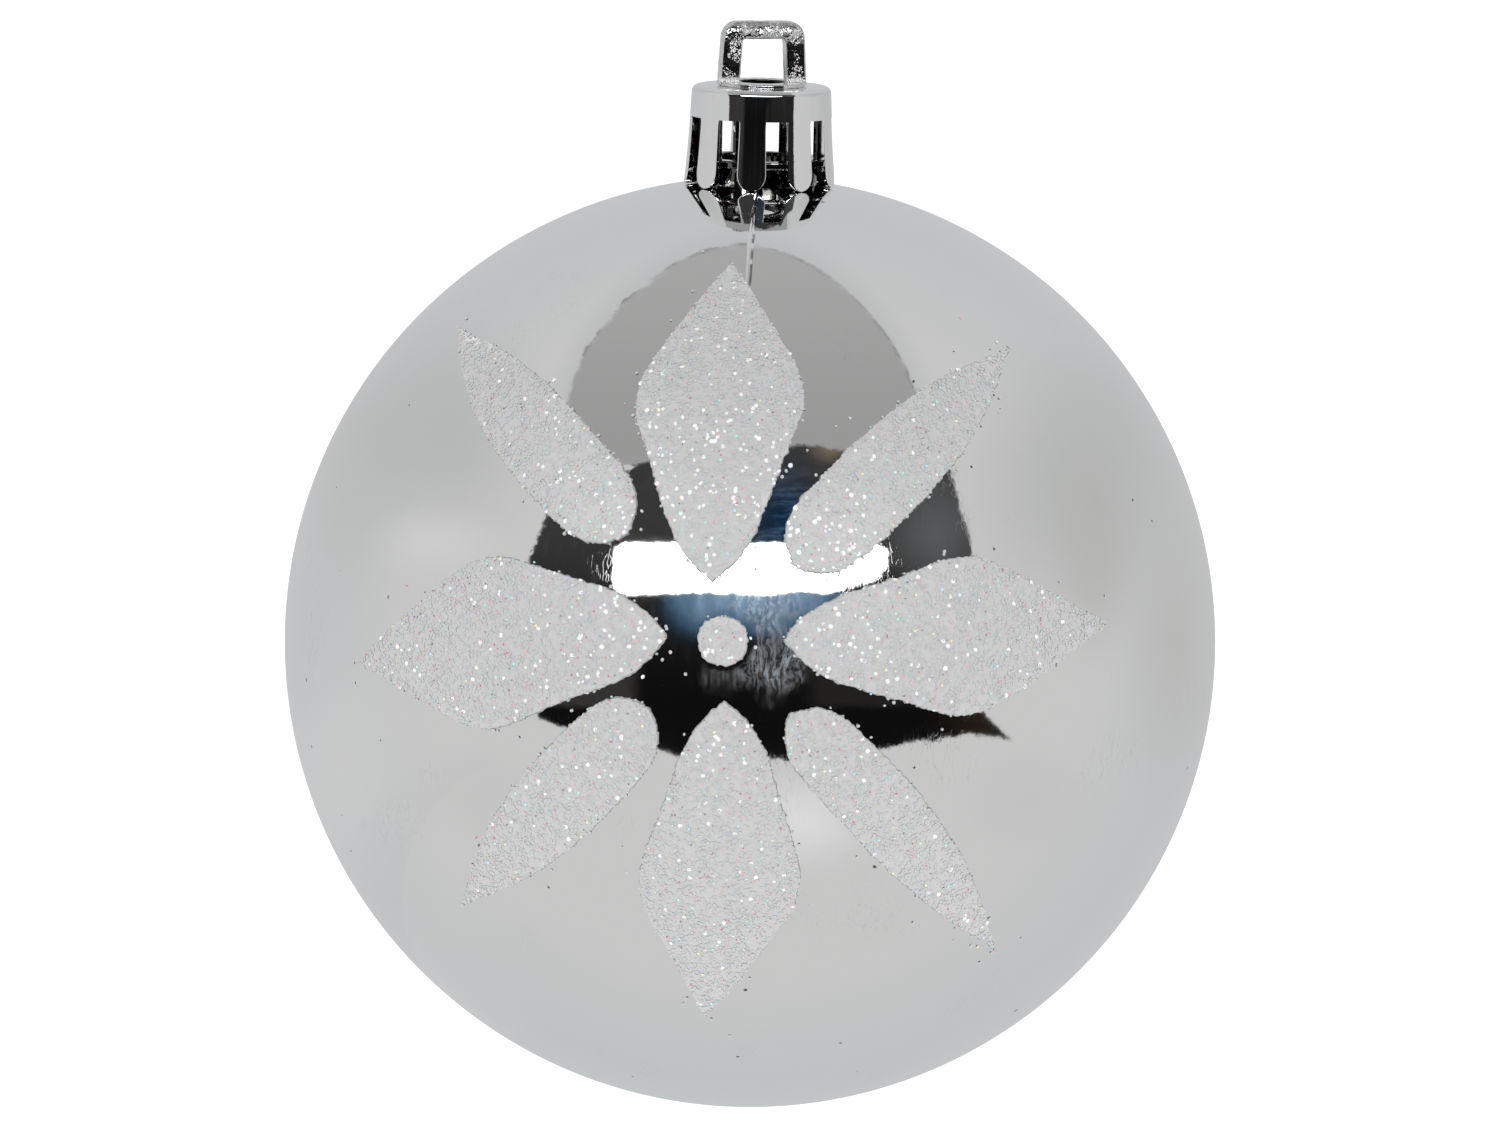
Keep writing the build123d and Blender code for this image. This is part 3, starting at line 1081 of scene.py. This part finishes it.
def tent_paper(u, v):
    """The tent's pale walls: bluish towards the rim, with soft shades and a fold low on the left."""
    from_middle = (u * u + v * v).root()
    tone = mix((0.770, 0.772, 0.768), (0.742, 0.750, 0.757), from_middle.step(0.7, 0.98))
    shades = [
        ((0.72, 0.34), (0.34, 0.42), (0.690, 0.697, 0.692), 0.9),
        ((-0.66, 0.46), (0.28, 0.34), (0.700, 0.705, 0.705), 0.9),
        ((-0.82, 0.40), (0.17, 0.22), (0.700, 0.705, 0.700), 0.6),
        ((-0.58, -0.34), (0.18, 0.14), (0.745, 0.747, 0.745), 0.7),
        ((0.60, -0.34), (0.18, 0.14), (0.745, 0.748, 0.745), 0.7),
        ((-0.68, 0.22), (0.18, 0.10), 0.82, 0.55),
        ((0.11, -0.38), (0.20, 0.14), 0.865, 0.8),
        ((0.75, 0.20), (0.12, 0.30), (0.695, 0.693, 0.685), 0.7),
        ((0.93, 0.00), (0.16, 0.45), (0.715, 0.718, 0.710), 0.9),
        ((-0.88, 0.30), (0.15, 0.26), (0.725, 0.728, 0.725), 0.8),
        ((-0.88, -0.28), (0.18, 0.36), 0.785, 0.8),
    ]
    for middle, reach, colour, share in shades:
        tone = mix(tone, colour, blob(u, v, middle, reach) * share)
    fold = (((u + 0.44) / 0.315).power(2.0) + ((v + 0.56) / 0.32).power(2.0)).root()
    return mix(tone, (0.785, 0.785, 0.78), fold.step(1.01, 0.98) * u.step(-0.42, -0.66) * 0.35)


def tent_flap(tone, u, v, uneven):
    """The tent's front flap: an arch above the opening, with a darker hem."""
    middle, reach, squareness = (-0.018, 0.44), (0.395, 0.425), 1.75
    arch_foot = (0.36, 0.40)
    across = ((u - middle[0]) / reach[0]).size().power(squareness)
    along = ((v - middle[1]) / reach[1]).size().power(squareness)
    from_arch = (across + along).power(1 / squareness) + (1 - v.step(*arch_foot))
    flap = mix((0.590, 0.592, 0.588), (0.640, 0.642, 0.638), v.step(0.42, 0.86))
    tone = mix(tone, (0.70, 0.71, 0.715), from_arch.step(1.16, 1.0) * 0.5)
    hem = mix(tone, 0.47, from_arch.step(1.014, 1.0) * uneven * 0.75)
    return mix(hem, flap, from_arch.step(1.002, 0.985))


def tent_opening(u, v, ragged):
    """The opening that the camera looks through, with a ragged edge and a corner that is pulled out."""
    outline = [
        (-0.456, -0.160), (-0.406, -0.180), (-0.15, -0.238), (0.09, -0.250), (0.275, -0.225), (0.47, -0.195),
        (0.478, 0.205), (0.430, 0.384), (0.116, 0.427), (-0.237, 0.388), (-0.436, 0.283), (-0.474, 0.188),
    ]
    corner = [(0.40, -0.10), (0.40, -0.183), (0.560, -0.209), (0.505, -0.155), (0.465, -0.115)]
    return covered(u + ragged, v - ragged, outline).most(covered(u, v + ragged, corner))


def dark_room(u, v, streaks, level_streaks):
    """The room seen through the opening: nearly black below, with a few vague paler and blue patches."""
    room = mix((0.085, 0.083, 0.083), 0.225, v.step(-0.12, 0.28))
    left, right = u.step(-0.22, -0.27), u.step(0.10, 0.16) * 0.5
    aside = left.most(right) * v.step(0.06, 0.02) * v.step(-0.145, -0.125)
    room = mix(room, (0.215, 0.21, 0.205), aside)
    room = mix(room, (0.34, 0.345, 0.35), blob(u, v, (0.40, 0.24), (0.16, 0.20)))
    room = mix(room, 0.30, streaks.step(0.5, 0.75) * v.step(-0.12, 0.0) * 0.25)
    room = mix(room, (0.15, 0.13, 0.10), blob(u, v, (0.50, -0.16), (0.14, 0.08)))
    navy = mix((0.10, 0.16, 0.24), (0.24, 0.35, 0.46), level_streaks.step(0.40, 0.64))
    room = mix(room, navy, blob(u, v, (0.07, 0.26), (0.13, 0.17)))
    return mix(room, (0.42, 0.38, 0.33), blob(u, v, (0.17, 0.415), (0.06, 0.04)))


def softbox_spill(tone, u, v, hole, streaks):
    """Soft bluish light that spills below the softbox, in streaks."""
    spill = v.step(-0.03, 0.11) * v.step(0.125, 0.11) * ((u - 0.01) / 0.24).size().step(1.0, 0.45) * hole
    spill_tone = mix((0.12, 0.18, 0.24), (0.54, 0.67, 0.78), spill * (0.3 + 0.8 * streaks))
    return mix(tone, spill_tone, spill.step(0.0, 0.4))


def softbox(u, v, ragged):
    outline = [
        (-0.294, 0.122), (-0.275, 0.107), (0.17, 0.110), (0.27, 0.138), (0.296, 0.165),
        (0.294, 0.200), (0.270, 0.212), (-0.270, 0.216), (-0.292, 0.205),
    ]
    return covered(u + ragged * 0.7, v - ragged * 0.5, outline)


def tent():
    """The light tent that the mirror shows, laid out by where it appears on a mirror ball.

    u and v are the shares of the ball's radius to the right and up from its middle. Colours are as shown
    on the screen until the last step turns them into light. The layout turns with the camera.
    """
    limb_shrink = 1.026  # the rim of a ball seen from near by lies this far out in the layout
    screen_gamma = 2.2
    softbox_light = 5.0
    light_on_matt = (0.79, 0.79, 0.795)
    world = bpy.data.worlds.new("light_tent")
    scene.world = world
    world.use_nodes = True
    world.cycles.sampling_method = "NONE"
    tree = world.node_tree
    tree.nodes.clear()
    seen_from_camera = make(tree, "ShaderNodeTexCoord", output="Camera")
    right, up, away = coordinates(seen_from_camera)
    just_over_one = 1.0001  # so that the spread isn't 0 straight behind the ball
    spread = ((just_over_one - away) * 2).root()
    u, v = right / spread * limb_shrink, up / spread * limb_shrink
    rim_line = (u * u + v * v).root().step(1.0205, 1.0255)
    waver = unevenness(seen_from_camera, 9.0, 0.026, 5.0, 0.65)
    u, v = u + waver, v - waver
    streaks = grain(scaled(seen_from_camera, 1.0, 0.25, 1.0), 22.0, 3.0)
    level_streaks = grain(scaled(seen_from_camera, 1.0, 7.0, 1.0), 6.0, 4.0, 0.65)
    uneven = grain(seen_from_camera, 9.0, 4.0, 0.7).step(0.38, 0.62) * 0.8 + 0.2
    ragged = unevenness(seen_from_camera, 45.0, 0.022, 4.0, 0.7)

    tone = tent_flap(tent_paper(u, v), u, v, uneven)
    tone = mix(tone, (0.55, 0.555, 0.56), rim_line * 0.7)
    hole = tent_opening(u, v, ragged)
    tone = mix(tone, dark_room(u, v, streaks, level_streaks), hole)
    tone = softbox_spill(tone, u, v, hole, streaks)
    light = make(tree, "ShaderNodeGamma", {"Color": tone, "Gamma": screen_gamma})
    light = mix(vector("SCALE", light, 1 / mirror_reflectance), softbox_light, softbox(u, v, ragged))

    # What the mirror sees, what lights matt surfaces, and the plain white behind everything
    glossy = make(tree, "ShaderNodeLightPath", output="Is Glossy Ray")
    seen = make(tree, "ShaderNodeLightPath", output="Is Camera Ray")
    everything = mix(mix(light_on_matt, light, glossy), 1.0, seen)
    background = make(tree, "ShaderNodeBackground", {"Color": everything, "Strength": 1.0})
    output = tree.nodes.new("ShaderNodeOutputWorld")
    tree.links.new(background.socket, output.inputs[0])


# ---- studio
def floor():
    """A plain pale floor below the hanging ball. The mirror shows the tent in its place."""
    drop, reach = 55 * MM, 4000 * MM
    level = ball_center.z - ball_radius * MM - drop
    corners = [(-reach, -reach, level), (reach, -reach, level), (reach, reach, level), (-reach, reach, level)]
    mesh = bpy.data.meshes.new("floor")
    mesh.from_pydata(corners, [], [(0, 1, 2, 3)])
    material, surface, place = new_material("pale_floor")
    colour = mix(0.90, 0.94, grain(place, 0.08, 4.0))
    set_surface(
        surface,
        Base_Color=colour,
        Roughness=0.9,
        Specular_IOR_Level=0.0,
        Emission_Color=colour,
        Emission_Strength=0.42,
    )
    mesh.materials.append(material)
    obj = new_object("floor", mesh)
    obj.visible_glossy = False
    obj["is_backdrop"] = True


def outwards(azimuth, elevation):
    a, e = radians(azimuth), radians(elevation)
    return Vector((sin(a) * cos(e), -cos(a) * cos(e), sin(e)))


def hang_lamp(name, kind, power, azimuth, elevation, distance):
    """A lamp at a direction and a distance, in metres, from the ball's centre."""
    lamp = bpy.data.lights.new(name, kind)
    lamp.energy = power
    obj = new_object(name, lamp)
    obj.location = ball_center + outwards(azimuth, elevation) * distance
    return obj


def soft_light(name, azimuth, elevation, power):
    """A large square light that faces the ball and doesn't show in the mirror."""
    obj = hang_lamp(name, "AREA", power, azimuth, elevation, 1.2)
    obj.data.size = 1.2
    obj.rotation_mode = "QUATERNION"
    obj.rotation_quaternion = outwards(azimuth, elevation).to_track_quat("Z", "Y")
    obj.visible_glossy = False


def sparkle_light(name, azimuth, elevation, receivers):
    """A small lamp that only the glitter sees, and only as glints."""
    obj = hang_lamp(name, "POINT", 3.0, azimuth, elevation, 0.7)
    obj.data.shadow_soft_size = 0.02
    obj.visible_diffuse = False
    obj.light_linking.receiver_collection = receivers


def lighting():
    soft_light("key_light", -35, 50, 2.0)
    soft_light("fill_light", 50, 20, 0.8)
    glittering = bpy.data.collections.new("glittering")
    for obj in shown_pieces():
        if obj.name.endswith("_glitter"):
            glittering.objects.link(obj)
    directions = ((-35, 35), (30, 30), (-15, -25), (150, 35), (-150, 30))
    for index, (azimuth, elevation) in enumerate(directions):
        sparkle_light(f"sparkle_{index}", azimuth, elevation, glittering)


def camera():
    """Looks slightly down on the ball from a little to its right, rolled so that the neck leans right."""
    azimuth, elevation, roll = 3.2, 9.0, 1.2
    distance_in_radii = 18.0
    ball_share = 0.3102  # the ball's radius as a share of the frame's width
    drop_share = 0.0527  # how far the ball's middle lies below the frame's middle, same share
    data = bpy.data.cameras.new("camera")
    data.sensor_width = 36.0
    focal_share = ball_share * sqrt(distance_in_radii**2 - 1)
    data.lens = data.sensor_width * focal_share
    data.clip_start, data.clip_end = 0.01, 20
    obj = new_object("camera", data)
    away = outwards(azimuth, elevation)
    obj.location = ball_center + away * distance_in_radii * ball_radius * MM
    facing = away.to_track_quat("Z", "Y").to_matrix()
    rolled = facing @ Matrix.Rotation(radians(roll), 3, "Z")
    raised = rolled @ Matrix.Rotation(drop_share / focal_share, 3, "X")
    obj.rotation_mode = "QUATERNION"
    obj.rotation_quaternion = raised.to_quaternion()
    scene.camera = obj


build_ball()
build_cap()
build_loop()
glue = adhesive_material()
glitter = glitter_material()
for side in ("front", "back"):
    build_flower(side, glue, glitter)
tent()
floor()
lighting()
camera()
scene.view_settings.view_transform = "Standard"
